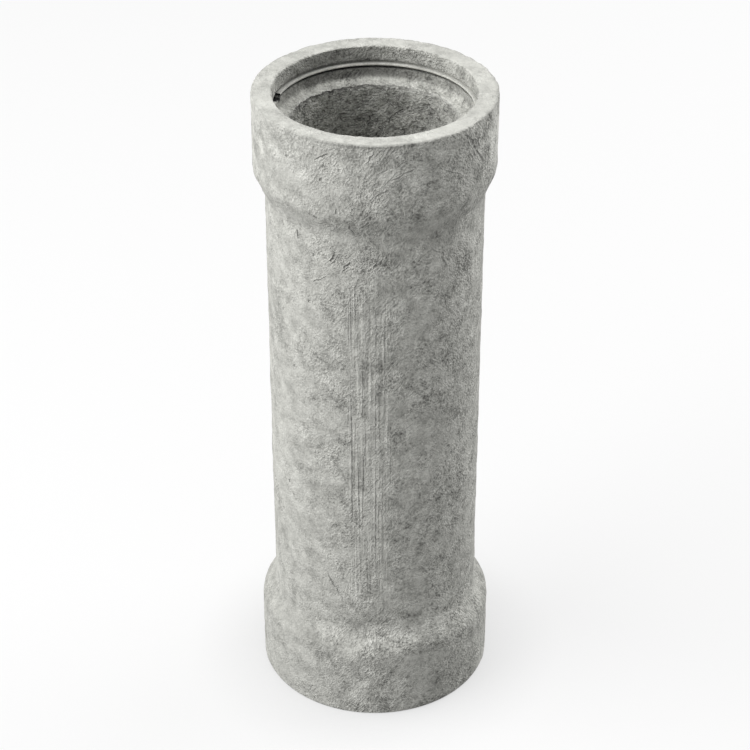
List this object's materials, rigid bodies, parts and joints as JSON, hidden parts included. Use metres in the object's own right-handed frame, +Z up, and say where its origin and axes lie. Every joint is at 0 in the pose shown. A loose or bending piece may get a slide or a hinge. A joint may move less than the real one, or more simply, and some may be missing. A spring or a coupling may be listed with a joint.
{
  "type": "concrete sewer pipe",
  "caption": "Cast concrete sewer pipe standing on its end, with a straight round bore, a belled socket with an inner joint bead above a ledge, and a swelled collar at the base.",
  "frame": {"origin": "centre of the flat base that the pipe stands on", "axes": "+Z up the pipe's axis towards the socket's rim, -Y towards the side that faces the camera, +X to the right as seen from there"},
  "size_m": [0.441, 0.4408, 1.222],
  "materials": {
    "concrete": "rough cast concrete, matte light grey"
  },
  "bodies": {
    "root": {"pipe": "concrete"}
  },
  "joints": []
}
